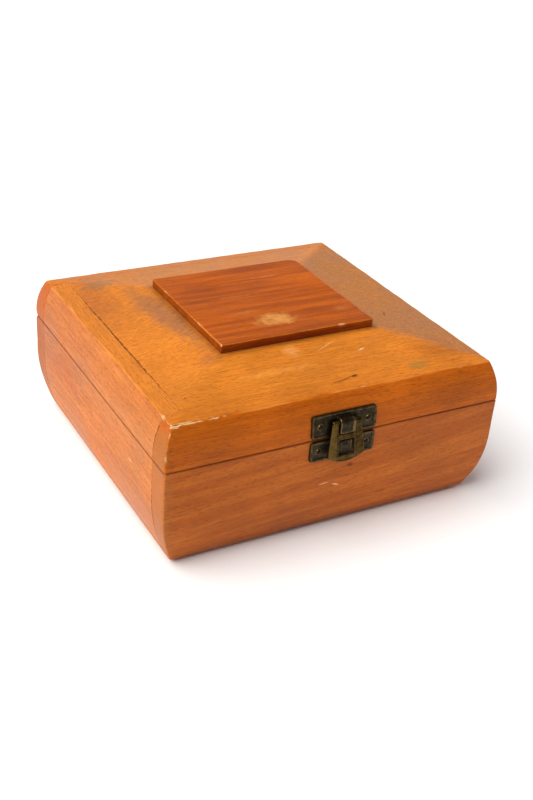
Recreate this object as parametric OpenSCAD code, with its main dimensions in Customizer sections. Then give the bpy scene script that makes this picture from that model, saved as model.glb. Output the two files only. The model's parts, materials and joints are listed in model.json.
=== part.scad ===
// Hinged wooden case for fountain pens. A box of curved boards is sawn apart at the parting
// line into a base and a lid, with a hipped top, a raised plaque and a brass hasp in front.
// Frame: origin at the centre of the underside, +X right, +Y to the hinges, -Y to the latch, +Z up.

/* [Case] */
// Width over the side boards
case_w = 180; // [150:1:220]
// Depth from the front board to the back board
case_d = 172; // [140:1:215]
// Height of the base, from the table to the parting line
base_h = 55; // [50:1:70]
// Height of the lid's upper edge above the parting line
lid_h = 20.8; // [17:0.1:28]
// Rise of the sloping top, from the lid's upper edge to the plaque
top_rise = 7.1; // [4:0.1:12]
// Thickness of the front, back and side boards
wall = 13; // [10:0.1:16]
// Thickness of the bottom board
floor_t = 8; // [5:0.5:10]
// Thickness of the top board at its middle
top_t = 14; // [11:0.5:16]
// Gap between the two rims when the case is shut
rim_gap = 0.3; // [0.2:0.05:0.6]

/* [Outside curve] */
// Radius of the belly of the base
belly_r = 80; // [70:1:120]
// How far below the parting line the belly starts
belly_drop = 20; // [14:1:25]
// Radius of the rounded shoulder of the lid
shoulder_r = 40; // [36:1:60]
// How far above the parting line the shoulder starts
shoulder_lift = 2; // [1:0.5:5]
// Radius of the rounded lower edge of the base
foot_r = 4; // [2:0.5:5]

/* [Plaque] */
// Width of the raised plaque
plaque_w = 84; // [60:1:100]
// Depth of the raised plaque
plaque_d = 80.6; // [60:0.1:100]
// Thickness of the raised plaque
plaque_t = 4.2; // [3:0.1:6]
// Bevel along the plaque's upper edges
plaque_bevel = 0.5; // [0.2:0.1:1]

/* [Pen bed] */
// Depth of the pen bed below the parting line
bed_drop = 14; // [12:0.5:18]
// Thickness of the bed board
bed_board_t = 4; // [3:0.5:6]
// Thickness of each of the three bearers under the bed board
bearer_t = 6; // [4:0.5:10]
// Thickness of the velvet on the bed
cloth_t = 1; // [0.6:0.1:1.5]
// Number of pen channels
channels = 7; // [5:1:8]
// Width of a ridge between two channels
ridge_w = 6; // [4:0.5:7]
// Height of a ridge
ridge_h = 9; // [6:0.5:10]
// Gap in the middle of the ridges, for the fingers
finger_gap = 36; // [25:1:50]
// Distance from a ridge's end to the side lining
ridge_end = 4; // [2:0.5:8]
// Thickness of the velvet-covered cards on the walls
lining_t = 1.5; // [1:0.1:2.5]
// Distance from the linings' edges to the rims
lining_drop = 1; // [0.5:0.1:3]
// Thickness of the padded lining of the lid
pad_t = 4; // [3:0.5:5]
// Thickness of the card that carries the pad
pad_card_t = 1; // [0.8:0.1:1.5]
// Clearance around boards, cloth and pads that drop into the case
drop_in_gap = 0.3; // [0.2:0.05:0.5]

/* [Hinges] */
// How far the lid opens, in degrees
lid_open = 99; // [90:1:110]
// Distance between the middles of the two hinges
hinge_span = 100; // [70:1:110]
// Length of a hinge
hinge_len = 25; // [20:0.5:32]
// Radius of the hinge barrel
knuckle_r = 2; // [1.8:0.1:2.2]
// Radius of the hinge pin
pin_r = 0.8; // [0.6:0.1:1]
// Radial clearance of the pin in the barrel
pin_clear = 0.05; // [0.02:0.01:0.1]
// Thickness of a hinge leaf
leaf_t = 1; // [0.8:0.1:1.2]
// Wood left between a leaf and the inside of the case
leaf_margin = 1.3; // [0.8:0.1:2]
// Depth of the V-shaped bevel along the back, from the hinge axis to the back face
vee_depth = 2.2; // [2:0.1:3]
// Clearance around the barrel in the wood, and between a leaf and the other leaf's barrel
knuckle_clear = 0.4; // [0.3:0.05:0.6]
// Side gap between knuckles
knuckle_gap = 0.15; // [0.1:0.05:0.3]
// Distance between the two screws of a leaf
screw_pitch = 16; // [12:0.5:20]
// Radius of a screw's shank
screw_r = 0.8; // [0.6:0.1:1]
// Radius of a screw's countersunk head
screw_head_r = 1.6; // [1.3:0.1:2]
// Length of a screw
screw_len = 8; // [5:0.5:10]

/* [Latch] */
// Width of the two latch plates
plate_w = 35; // [30:0.5:45]
// Thickness of the plates
plate_t = 0.8; // [0.6:0.1:1.2]
// Height of the raised border of the plates
border_t = 0.4; // [0.2:0.1:0.6]
// Width of the raised border
border_w = 1.4; // [1:0.1:2]
// Corner radius of the plates
plate_corner_r = 1.6; // [1:0.1:3]
// Lower edge of the lid's plate, above the parting line
hasp_plate_z = 1; // [0.5:0.1:2]
// Height of the lid's plate
hasp_plate_h = 11.8; // [10:0.1:14]
// Upper edge of the base's plate, below the parting line
catch_plate_drop = 0.5; // [0.3:0.1:2]
// Height of the base's plate
catch_plate_h = 10.7; // [10:0.1:14]
// Distance of each nail from the middle of the latch
nail_x = 13; // [11:0.1:15]
// Radius of a nail's domed head
nail_head_r = 1.4; // [1:0.1:1.8]
// Height of a nail's domed head
nail_head_h = 0.7; // [0.4:0.1:1]
// Radius of a nail's shank
nail_r = 0.6; // [0.4:0.1:0.8]
// Length of a nail's shank
nail_len = 8; // [5:0.5:9]
// Clearance around screws and nails in the wood and the plates
shank_clear = 0.05; // [0.02:0.01:0.1]
// Height of the hasp's pivot above the parting line
pivot_z = 8.6; // [8:0.1:10]
// Distance of the hasp's pivot in front of the case's face
pivot_out = 2.3; // [2:0.1:3]
// Radius of the round bar that the hasp turns on
hasp_bar_r = 1.05; // [0.9:0.05:1.2]
// Radial clearance of the hasp's bar in its strap
bar_clear = 0.05; // [0.02:0.01:0.1]
// Width of the strap that holds the bar
strap_w = 8; // [6:0.1:10]
// Wall of the strap around the bar
strap_t = 0.85; // [0.7:0.05:1]
// Lower edge of the strap above the parting line
strap_z = 3.3; // [2:0.1:4]
// Thickness of the hasp
hasp_t = 1; // [0.8:0.1:1.2]
// Width of the hasp at its pivot
hasp_top_w = 15.3; // [14:0.1:18]
// Width of the hasp at its bend line
hasp_low_w = 20; // [17:0.1:24]
// Clearance at each side of the strap and the nub in the hasp's windows
window_gap = 0.3; // [0.2:0.05:0.6]
// Clearance between the end of the strap and the hasp's crossbar as it swings
strap_gap = 0.4; // [0.3:0.05:0.8]
// Height of the hasp's crossbar
crossbar_h = 2.9; // [2:0.1:4]
// Height of the hasp's lower lip
lip_h = 3.3; // [2.5:0.1:4]
// Inward bend of the lip, in degrees
lip_bend = 12; // [0:1:12]
// Width of the nub that the hasp snaps over
nub_w = 7.6; // [6:0.1:9]
// Height of the nub
nub_h = 6.9; // [5:0.1:8]
// Depth of the nub in front of its plate
nub_out = 2.5; // [2:0.1:2.8]
// Radius of the nub's two lower corners
nub_corner_r = 2.4; // [1:0.1:3]
// Clearance above and below the nub in the hasp's lower window
nub_gap = 0.6; // [0.5:0.05:0.9]
// Angle at which the hasp hangs just clear of the nub, in degrees from upright
hasp_tilt = 7.5; // [7:0.1:10]

/* [Hidden] */

$fn = 96;
reach = 500;                                    // longer than any part of the case
wood = "#c8772f";
side_wood = "#bf6f3a";
plaque_wood = "#a65a30";
inner_wood = "#c49a63";
velvet = "#5b1424";
brass = "#6a5a34";
bright_brass = "#a08a4e";

half_w = case_w / 2;
half_d = case_d / 2;
inner_w = case_w - 2 * wall;
inner_d = case_d - 2 * wall;
base_rim = base_h - rim_gap / 2;
lid_rim = base_h + rim_gap / 2;
shoulder_z = base_h + shoulder_lift;
belly_z = base_h - belly_drop;
edge_z = base_h + lid_h;
top_z = edge_z + top_rise;
ceiling_z = top_z - top_t;
// How far the arc of radius r has curved inwards at height h above its start
function inset(r, h) = r - sqrt(r * r - h * h);
edge_inset = inset(shoulder_r, edge_z - shoulder_z);

lined_w = inner_w - 2 * lining_t;
lined_d = inner_d - 2 * lining_t;
bed_z = base_h - bed_drop;
board_z = bed_z - cloth_t - bed_board_t;
channel_pitch = lined_d / channels;
ridge_len = (lined_w - finger_gap) / 2 - ridge_end;

axis_y = half_d - vee_depth;
leaf_w = wall - vee_depth - leaf_margin;
barrel_room = knuckle_r + knuckle_clear;
screw_y = axis_y - (barrel_room + leaf_w) / 2;
knuckle_len = (hinge_len - 2 * knuckle_gap) / 3;
pin_head_r = 1.3;
pin_head_t = 0.5;
bevel_angle = (lid_open + 1) / 2;               // the bevels meet one degree past the lid's travel
hinge_x = hinge_span / 2;

strap_r = hasp_bar_r + bar_clear + strap_t;
strap_sweep = norm([strap_r, pivot_z - strap_z]);
crossbar_top = strap_sweep + strap_gap;         // distances down the hasp, from its pivot
crossbar_low = crossbar_top + crossbar_h;
nub_top = base_h + pivot_z - crossbar_low - nub_gap;
bend_line = crossbar_low + nub_h + 2 * nub_gap;
bend_swell = 0.05;                              // the fold stands a little proud of the flat
window_w = max(strap_w, nub_w) + 2 * window_gap;
plate_face = plate_t + border_t;
catch_z = base_h - catch_plate_drop - catch_plate_h / 2;
hasp_z = base_h + hasp_plate_z + hasp_plate_h / 2;
// Angle by which the shoulder leans back at the nails of the lid's plate
hasp_nail_lean = asin(max(0, hasp_z - shoulder_z) / shoulder_r);

// ---- shared shapes ----

module slab(x, y, z) {
    translate([x[0], y[0], z[0]]) cube([x[1] - x[0], y[1] - y[0], z[1] - z[0]]);
}

// A thing and its mirror image on the other side of the case
module both_sides() {
    children();
    mirror([1, 0, 0]) children();
}

// Lays an outline drawn in X and Z along Y, and one drawn in Y and Z along X
module along_y(len = reach) {
    rotate([90, 0, 0]) linear_extrude(len, center = true) children();
}
module along_x(len = reach) {
    rotate([90, 0, 90]) linear_extrude(len, center = true) children();
}

// The part of a wall's section that curves inwards above height 0
module arc_side(half, r) {
    translate([half - r - reach, 0]) square([reach, r]);
    intersection() {
        translate([half - r, 0]) circle(r);
        translate([half - r, 0]) square(r);
    }
}

// Section of the shut case: belly, straight stretch and shoulder, grown outwards by skin
module case_section(half, skin = 0) {
    intersection_for (side = [0, 1]) mirror([side, 0]) {
        translate([half + skin - reach, belly_z]) square([reach, shoulder_z - belly_z]);
        translate([0, shoulder_z]) arc_side(half + skin, shoulder_r + skin);
        translate([0, belly_z]) mirror([0, 1]) arc_side(half + skin, belly_r + skin);
    }
}

// A slice of a round disc between two directions
module slice(r, from, to) {
    intersection() {
        circle(r);
        polygon([[0, 0], 2 * r * from, 2 * r * (from + to), 2 * r * to]);
    }
}

// One side of the base in section. The belly's arc runs over into the foot's smaller arc.
module base_side_section(half) {
    belly = [half - belly_r, belly_z];
    rise = belly_z - foot_r;
    run = sqrt(pow(belly_r - foot_r, 2) - rise * rise);
    meet = [run, -rise] / (belly_r - foot_r);
    foot = belly + [run, -rise];
    translate([half - reach, belly_z]) square([reach, base_rim - belly_z]);
    polygon([[belly[0] - reach, belly_z], belly, foot, [foot[0], 0], [belly[0] - reach, 0]]);
    translate(belly) slice(belly_r, [1, 0], meet);
    translate(foot) slice(foot_r, meet, [0, -1]);
}

module base_section(half) {
    intersection_for (side = [0, 1]) mirror([side, 0]) base_side_section(half);
}

// The roof slopes from the plaque's edge through the lid's upper edge
module lid_section(half, plaque_half) {
    slope = top_rise / (half - edge_inset - plaque_half);
    eave_z = top_z - slope * (half - plaque_half);
    intersection() {
        case_section(half);
        polygon([
            [-half, lid_rim], [half, lid_rim], [half, eave_z],
            [plaque_half, top_z], [-plaque_half, top_z], [-half, eave_z]
        ]);
    }
}

module base_block() {
    intersection() {
        along_y() base_section(half_w);
        along_x() base_section(half_d);
    }
}

module lid_block() {
    intersection() {
        along_y() lid_section(half_w, plaque_w / 2);
        along_x() lid_section(half_d, plaque_d / 2);
    }
}

// Places of the four walls and of what lies between them
module front_zone() slab([-half_w, half_w], [-half_d, -inner_d / 2], [0, reach]);
module back_zone() slab([-half_w, half_w], [inner_d / 2, half_d], [0, reach]);
module left_zone() slab([-half_w, -inner_w / 2], [-inner_d / 2, inner_d / 2], [0, reach]);
module inside_zone(low, high) {
    slab([-inner_w / 2, inner_w / 2], [-inner_d / 2, inner_d / 2], [low, high]);
}

// ---- hinges ----

// Places of the two hinges, with x along the axis
module at_hinge() {
    translate([-hinge_x, axis_y, base_h]) children();
}

// Turns a piece made for the base over, so that it serves the lid
module turned_over() {
    mirror([0, 0, 1]) children();
}

module screw_spots() {
    for (x = [-1, 1]) translate([x * screw_pitch / 2, screw_y - axis_y, -rim_gap / 2]) children();
}

// A screw's form, with a right-angled countersink
module countersunk(extra = 0) {
    head_depth = screw_head_r - screw_r;
    translate([0, 0, -head_depth]) cylinder(h = head_depth, r1 = screw_r + extra, r2 = screw_head_r + extra);
    translate([0, 0, -screw_len]) cylinder(h = screw_len - head_depth, r = screw_r + extra);
}

// The recesses that one hinge needs in the base's rim
module hinge_recess() {
    room = hinge_len / 2 + pin_head_t + knuckle_clear;
    at_hinge() {
        along_x(2 * room) circle(barrel_room);
        slab([-hinge_len / 2, hinge_len / 2], [-leaf_w, 0], [-rim_gap / 2 - leaf_t, 0]);
        screw_spots() countersunk(shank_clear);
    }
}

// The wedge that is bevelled away along the back of both rims
module back_vee() {
    rise = 2 * vee_depth * tan(bevel_angle);
    along_x() polygon([
        [axis_y, base_h], [axis_y + 2 * vee_depth, base_h + rise], [axis_y + 2 * vee_depth, base_h - rise]
    ]);
}

// A leaf with its knuckles, each given by its middle and its length
module leaf(knuckles) {
    level = [-rim_gap / 2 - leaf_t, -rim_gap / 2];
    root = -(pin_r + knuckle_r) / 2;            // the leaf runs into the middle of the barrel's wall
    difference() {
        union() {
            slab([-hinge_len / 2, hinge_len / 2], [-leaf_w, -barrel_room], level);
            for (k = knuckles) translate([k[0], 0, 0]) {
                slab([-k[1] / 2, k[1] / 2], [-barrel_room, root], level);
                along_x(k[1]) circle(knuckle_r);
            }
        }
        along_x() circle(pin_r + pin_clear);
        screw_spots() countersunk(shank_clear);
    }
}

module base_leaf() {
    outer_x = (hinge_len - knuckle_len) / 2;
    color(brass) at_hinge() leaf([[-outer_x, knuckle_len], [outer_x, knuckle_len]]);
}

module lid_leaf() {
    color(brass) at_hinge() turned_over() leaf([[0, knuckle_len]]);
}

module hinge_pin() {
    color(bright_brass) at_hinge() {
        along_x(hinge_len) circle(pin_r);
        both_sides() translate([(hinge_len + pin_head_t) / 2, 0, 0]) along_x(pin_head_t) circle(pin_head_r);
    }
}

// One screw, with a slot for the driver
module screw() {
    difference() {
        countersunk();
        slab([-2 * screw_head_r, 2 * screw_head_r], [-screw_r / 4, screw_r / 4], [-screw_r / 2, 1]);
    }
}

module base_leaf_screws() {
    color(bright_brass) both_sides() at_hinge() screw_spots() screw();
}

module lid_leaf_screws() {
    translate([0, 0, 2 * base_h]) turned_over() base_leaf_screws();
}

// ---- walls ----

module base_front() {
    color(wood) difference() {
        intersection() {
            base_block();
            front_zone();
        }
        catch_nail_spots() shank(shank_clear);
    }
}

module base_back() {
    color(wood) difference() {
        intersection() {
            base_block();
            back_zone();
        }
        back_vee();
        both_sides() hinge_recess();
    }
}

module base_side() {
    color(side_wood) intersection() {
        base_block();
        left_zone();
    }
}

module base_bottom() {
    color(inner_wood) inside_zone(0, floor_t);
}

module lid_front() {
    color(wood) difference() {
        intersection() {
            lid_block();
            front_zone();
        }
        hasp_nail_spots() shank(shank_clear);
    }
}

module lid_back() {
    color(wood) difference() {
        intersection() {
            lid_block();
            back_zone();
        }
        back_vee();
        translate([0, 0, 2 * base_h]) turned_over() both_sides() hinge_recess();
    }
}

module lid_side() {
    color(side_wood) intersection() {
        lid_block();
        left_zone();
    }
}

module lid_top() {
    color(wood) intersection() {
        lid_block();
        inside_zone(ceiling_z, reach);
    }
}

module plaque_outline(half) {
    polygon([
        [-half, top_z], [half, top_z], [half, top_z + plaque_t - plaque_bevel],
        [half - plaque_bevel, top_z + plaque_t], [plaque_bevel - half, top_z + plaque_t],
        [-half, top_z + plaque_t - plaque_bevel]
    ]);
}

module lid_plaque() {
    color(plaque_wood) intersection() {
        along_y() plaque_outline(plaque_w / 2);
        along_x() plaque_outline(plaque_d / 2);
    }
}

// ---- pen bed and linings ----

module bed_bearer(x) {
    color(inner_wood) slab(
        [x - bearer_t / 2, x + bearer_t / 2],
        [-inner_d / 2 + drop_in_gap, inner_d / 2 - drop_in_gap], [floor_t, board_z]);
}

module bed_board() {
    color(inner_wood) slab(
        [-inner_w / 2 + drop_in_gap, inner_w / 2 - drop_in_gap],
        [-inner_d / 2 + drop_in_gap, inner_d / 2 - drop_in_gap], [board_z, board_z + bed_board_t]);
}

module bed_velvet() {
    color(velvet) slab(
        [-lined_w / 2 + drop_in_gap, lined_w / 2 - drop_in_gap],
        [-lined_d / 2 + drop_in_gap, lined_d / 2 - drop_in_gap], [bed_z - cloth_t, bed_z]);
}

module ridge_section() {
    r = ridge_w / 2;
    translate([-r, 0]) square([ridge_w, ridge_h - r]);
    translate([0, ridge_h - r]) circle(r);
}

module pen_ridges() {
    color(velvet) for (i = [1 : channels - 1])
        translate([-(finger_gap + ridge_len) / 2, i * channel_pitch - lined_d / 2, bed_z])
            along_x(ridge_len) ridge_section();
}

// Cards on the front and on the left wall, between two heights
module lining_front(low, high) {
    color(velvet) slab([-inner_w / 2, inner_w / 2], [-inner_d / 2, -lined_d / 2], [low, high]);
}
module lining_left(low, high) {
    color(velvet) slab([-inner_w / 2, -lined_w / 2], [-lined_d / 2, lined_d / 2], [low, high]);
}

module base_lining_front() lining_front(bed_z - cloth_t, base_rim - lining_drop);
module base_lining_left() lining_left(bed_z - cloth_t, base_rim - lining_drop);
module lid_lining_front() lining_front(lid_rim + lining_drop, ceiling_z);
module lid_lining_left() lining_left(lid_rim + lining_drop, ceiling_z);

module ceiling_pad(low, high) {
    slab(
        [-lined_w / 2 + drop_in_gap, lined_w / 2 - drop_in_gap],
        [-lined_d / 2 + drop_in_gap, lined_d / 2 - drop_in_gap], [low, high]);
}

module lid_pad_card() color(inner_wood) ceiling_pad(ceiling_z - pad_card_t, ceiling_z);
module lid_pad() color(velvet) ceiling_pad(ceiling_z - pad_card_t - pad_t, ceiling_z - pad_card_t);

// ---- latch ----

// A rectangle with rounded corners
module rounded_rect(w, h, r) {
    square([w - 2 * r, h], center = true);
    square([w, h - 2 * r], center = true);
    for (x = [-1, 1], z = [-1, 1]) translate([x * (w / 2 - r), z * (h / 2 - r)]) circle(r, $fn = 32);
}

// A skin on the front of the case, from one distance outside its face to another
module front_skin(near, far) {
    difference() {
        along_x(2 * plate_w) intersection() {
            case_section(half_d, far);
            translate([-reach, 0]) square([reach - inner_d / 2, reach]);
        }
        along_x(3 * plate_w) case_section(half_d, near);
    }
}

// A pressed plate with a raised border, whose middle is at height z
module latch_plate(z, h) {
    inner_h = h - 2 * border_w;
    difference() {
        intersection() {
            front_skin(0, plate_face);
            translate([0, 0, z]) along_y() rounded_rect(plate_w, h, plate_corner_r);
        }
        intersection() {
            front_skin(plate_t, 2 * plate_face);
            translate([0, 0, z]) along_y() rounded_rect(plate_w - 2 * border_w, inner_h, plate_corner_r / 2);
        }
    }
}

// Places of the nails, seated on the plates, with -y pointing out of the wood
module catch_nail_spots() {
    for (x = [-1, 1]) translate([x * nail_x, -half_d - plate_t, catch_z]) children();
}
module hasp_nail_spots() {
    for (x = [-1, 1]) translate([x * nail_x, shoulder_r - half_d, shoulder_z])
        rotate([-hasp_nail_lean, 0, 0])
            translate([0, -shoulder_r - plate_t, 0]) children();
}

module shank(extra = 0) {
    rotate([-90, 0, 0]) cylinder(h = nail_len, r = nail_r + extra);
}

module nail() {
    dome_r = (nail_head_r * nail_head_r + nail_head_h * nail_head_h) / (2 * nail_head_h);
    shank();
    rotate([90, 0, 0]) rotate_extrude() intersection() {
        translate([0, nail_head_h - dome_r]) circle(dome_r);
        square([nail_head_r, nail_head_h]);
    }
}

module catch_nails() color(brass) catch_nail_spots() nail();
module hasp_nails() color(brass) hasp_nail_spots() nail();

// The nub, with its lower corners rounded
module nub_outline() {
    translate([-nub_w / 2, nub_corner_r - nub_h]) square([nub_w, nub_h - nub_corner_r]);
    translate([nub_corner_r - nub_w / 2, -nub_h]) square([nub_w - 2 * nub_corner_r, nub_h]);
    for (x = [-1, 1])
        translate([x * (nub_w / 2 - nub_corner_r), nub_corner_r - nub_h]) circle(nub_corner_r, $fn = 32);
}

module catch_plate() {
    color(brass) {
        difference() {
            latch_plate(catch_z, catch_plate_h);
            catch_nail_spots() shank(shank_clear);
        }
        intersection() {
            front_skin(plate_t / 2, plate_t + nub_out);
            translate([0, 0, nub_top]) along_y() nub_outline();
        }
    }
}

// Moves a thing drawn around the hasp's pivot to its place
module at_pivot() {
    translate([0, -half_d - pivot_out, base_h + pivot_z]) children();
}

// The strap wraps the bar at its top and is hollow below
module strap() {
    drop = pivot_z - strap_z;
    back = pivot_out;
    difference() {
        union() {
            along_x(strap_w) circle(strap_r);
            slab([-strap_w / 2, strap_w / 2], [-strap_r, back], [-drop, 0]);
            slab([-strap_w / 2, strap_w / 2], [0, back], [0, strap_r]);
        }
        slab(
            [strap_t - strap_w / 2, strap_w / 2 - strap_t],
            [strap_t - strap_r, back - plate_t], [-drop - 1, -strap_r - strap_t / 2]);
    }
}

module hasp_plate() {
    color(brass) difference() {
        union() {
            latch_plate(hasp_z, hasp_plate_h);
            at_pivot() strap();
        }
        along_x() case_section(half_d);
        at_pivot() along_x() circle(hasp_bar_r + bar_clear);
        hasp_nail_spots() shank(shank_clear);
    }
}

// The flat of the hasp, hanging down from the pivot, with its two windows
module hasp_outline() {
    difference() {
        polygon([
            [-hasp_top_w / 2, hasp_t / 2], [hasp_top_w / 2, hasp_t / 2],
            [hasp_low_w / 2, -bend_line], [-hasp_low_w / 2, -bend_line]
        ]);
        translate([-window_w / 2, -crossbar_top]) square([window_w, crossbar_top + hasp_t]);
        translate([-window_w / 2, -bend_line - 1]) square([window_w, bend_line + 1 - crossbar_low]);
    }
}

// The lip under the bend line, with a round lower edge
module lip_outline() {
    half = hasp_low_w / 2;
    r = (half * half + lip_h * lip_h) / (2 * lip_h);
    intersection() {
        translate([0, r - lip_h]) circle(r);
        translate([-hasp_low_w, -2 * lip_h]) square([2 * hasp_low_w, 2 * lip_h]);
    }
}

module hasp() {
    color(bright_brass) at_pivot() rotate([-hasp_tilt, 0, 0]) {
        along_x(hasp_top_w) circle(hasp_bar_r);
        along_y(hasp_t) hasp_outline();
        translate([0, 0, -bend_line]) {
            along_x(hasp_low_w) circle(hasp_t / 2 + bend_swell);
            rotate([lip_bend, 0, 0]) along_y(hasp_t) lip_outline();
        }
    }
}

base_front();
base_back();
base_side();  // base_left
mirror([1, 0, 0]) base_side();  // base_right
base_bottom();
bed_bearer((bearer_t - inner_w) / 2);  // bed_bearer_left
bed_bearer(0);  // bed_bearer_middle
bed_bearer((inner_w - bearer_t) / 2);  // bed_bearer_right
bed_board();
bed_velvet();
pen_ridges();  // pen_ridges_left
mirror([1, 0, 0]) pen_ridges();  // pen_ridges_right
base_lining_front();
mirror([0, 1, 0]) base_lining_front();  // base_lining_back
base_lining_left();
mirror([1, 0, 0]) base_lining_left();  // base_lining_right
lid_front();
lid_back();
lid_side();  // lid_left
mirror([1, 0, 0]) lid_side();  // lid_right
lid_top();
lid_plaque();
lid_lining_front();
mirror([0, 1, 0]) lid_lining_front();  // lid_lining_back
lid_lining_left();
mirror([1, 0, 0]) lid_lining_left();  // lid_lining_right
lid_pad_card();
lid_pad();
catch_plate();
catch_nails();
hasp_plate();
hasp_nails();
hasp();
base_leaf();  // hinge_base_leaf_left
mirror([1, 0, 0]) base_leaf();  // hinge_base_leaf_right
lid_leaf();  // hinge_lid_leaf_left
mirror([1, 0, 0]) lid_leaf();  // hinge_lid_leaf_right
hinge_pin();  // hinge_pin_left
mirror([1, 0, 0]) hinge_pin();  // hinge_pin_right
base_leaf_screws();  // hinge_base_screws
lid_leaf_screws();  // hinge_lid_screws
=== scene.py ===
import json
import math
import bpy
import numpy as np
from mathutils import Matrix, Vector, noise


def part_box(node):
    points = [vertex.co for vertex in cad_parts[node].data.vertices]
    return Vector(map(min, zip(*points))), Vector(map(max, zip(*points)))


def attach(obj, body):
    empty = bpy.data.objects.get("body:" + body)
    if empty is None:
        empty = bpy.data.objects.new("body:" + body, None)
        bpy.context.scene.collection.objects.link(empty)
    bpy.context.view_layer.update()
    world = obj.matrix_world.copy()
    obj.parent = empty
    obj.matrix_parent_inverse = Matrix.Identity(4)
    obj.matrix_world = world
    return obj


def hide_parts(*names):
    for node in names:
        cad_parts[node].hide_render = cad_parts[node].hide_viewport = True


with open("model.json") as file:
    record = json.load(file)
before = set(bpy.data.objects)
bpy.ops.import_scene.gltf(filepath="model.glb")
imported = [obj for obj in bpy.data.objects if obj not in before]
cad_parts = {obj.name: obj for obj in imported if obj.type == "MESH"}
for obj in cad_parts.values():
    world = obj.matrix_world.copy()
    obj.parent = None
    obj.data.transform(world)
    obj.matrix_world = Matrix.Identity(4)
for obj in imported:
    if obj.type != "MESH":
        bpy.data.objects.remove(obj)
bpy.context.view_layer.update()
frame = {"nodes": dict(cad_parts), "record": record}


# ---------------------------------------------------------------------------------------------
# The camera. It stands off the front left corner, a little above the lid, and is slightly tilted.
# Its axes and place are in the case's own frame, in metres.
# ---------------------------------------------------------------------------------------------
camera = bpy.data.objects.new("camera", bpy.data.cameras.new("camera"))
bpy.context.scene.collection.objects.link(camera)
camera.data.lens = 52.0
camera.data.sensor_width = 36.0
camera_right = Vector((0.87970, -0.47070, 0.06757))
camera_up = Vector((0.17980, 0.46079, 0.86910))
camera_back = Vector((-0.44022, -0.75240, 0.48999))
camera_place = Vector((-0.26427, -0.46550, 0.32939))
camera.matrix_world = Matrix.Translation(camera_place) @ Matrix(
    (camera_right, camera_up, camera_back)).transposed().to_4x4()
bpy.context.scene.camera = camera
bpy.context.scene.view_settings.view_transform = "Standard"


# ---------------------------------------------------------------------------------------------
# The studio. A large soft light from the left, a dim grey sky with a white screen low down
# behind the case, and a matt white floor that fills the view from the camera.
# ---------------------------------------------------------------------------------------------
def linear(code):
    """The linear colour of an sRGB hex value."""
    parts = [int(code[i:i + 2], 16) / 255 for i in (1, 3, 5)]
    return (*[c / 12.92 if c <= 0.04045 else ((c + 0.055) / 1.055) ** 2.4 for c in parts], 1.0)


def add(tree, kind, inputs=None, **settings):
    """Adds a shader node with its settings, and gives its inputs values or links."""
    node = tree.nodes.new("ShaderNode" + kind)
    for key, value in settings.items():
        setattr(node, key, value)
    for key, value in (inputs or {}).items():
        if isinstance(value, bpy.types.NodeSocket):
            tree.links.new(value, node.inputs[key])
        else:
            node.inputs[key].default_value = value
    return node


def new_material(name):
    """An empty surface with one Principled shader, and the place on the object in metres."""
    material = bpy.data.materials.new(name)
    material.use_nodes = True
    tree = material.node_tree
    return material, tree, tree.nodes["Principled BSDF"], add(tree, "TexCoord").outputs["Object"]


world = bpy.data.worlds.new("studio")
bpy.context.scene.world = world
world.use_nodes = True
sky = world.node_tree
direction = add(sky, "TexCoord").outputs["Generated"]
parts = add(sky, "SeparateXYZ", {0: direction})
behind = add(sky, "MapRange", {0: parts.outputs["Y"], 1: -0.3, 2: 0.6, 3: 0.0, 4: 1.0},
             interpolation_type="SMOOTHSTEP").outputs[0]
low = add(sky, "MapRange", {0: parts.outputs["Z"], 1: 0.12, 2: 0.50, 3: 1.0, 4: 0.0},
          interpolation_type="SMOOTHSTEP").outputs[0]
screen = add(sky, "Math", {0: behind, 1: low}, operation="MULTIPLY").outputs[0]
light = add(sky, "Mix", {0: screen, 6: (0.27, 0.27, 0.28, 1), 7: (1.15, 1.15, 1.16, 1)}, data_type="RGBA")
sky.links.new(light.outputs[2], sky.nodes["Background"].inputs["Color"])

sun = bpy.data.objects.new("soft_light", bpy.data.lights.new("soft_light", "SUN"))
bpy.context.scene.collection.objects.link(sun)
sun.data.energy = 3.6
sun.data.angle = math.radians(60)
sun.data.color = (1.0, 0.985, 0.965)
sun.rotation_euler = Vector((-0.60, 0.0, 0.94)).to_track_quat("Z", "Y").to_euler()

floor_mesh = bpy.data.meshes.new("floor")
FLOOR_REACH = 12.0
corners = [(x * FLOOR_REACH, y * FLOOR_REACH, 0) for x, y in ((-1, -1), (1, -1), (1, 1), (-1, 1))]
floor_mesh.from_pydata(corners, [], [(0, 1, 2, 3)])
floor = bpy.data.objects.new("floor", floor_mesh)
bpy.context.scene.collection.objects.link(floor)
paper, tree, shader, place = new_material("matt_white_paper")
fine = add(tree, "TexNoise", {"Vector": place, "Scale": 900.0, "Detail": 2.0}).outputs["Fac"]
tint = add(tree, "Mix", {0: fine, 6: linear("#f6f6f5"), 7: linear("#fbfbfb")}, data_type="RGBA")
tree.links.new(tint.outputs[2], shader.inputs["Base Color"])
shader.inputs["Roughness"].default_value = 0.9
floor.data.materials.append(paper)


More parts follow.
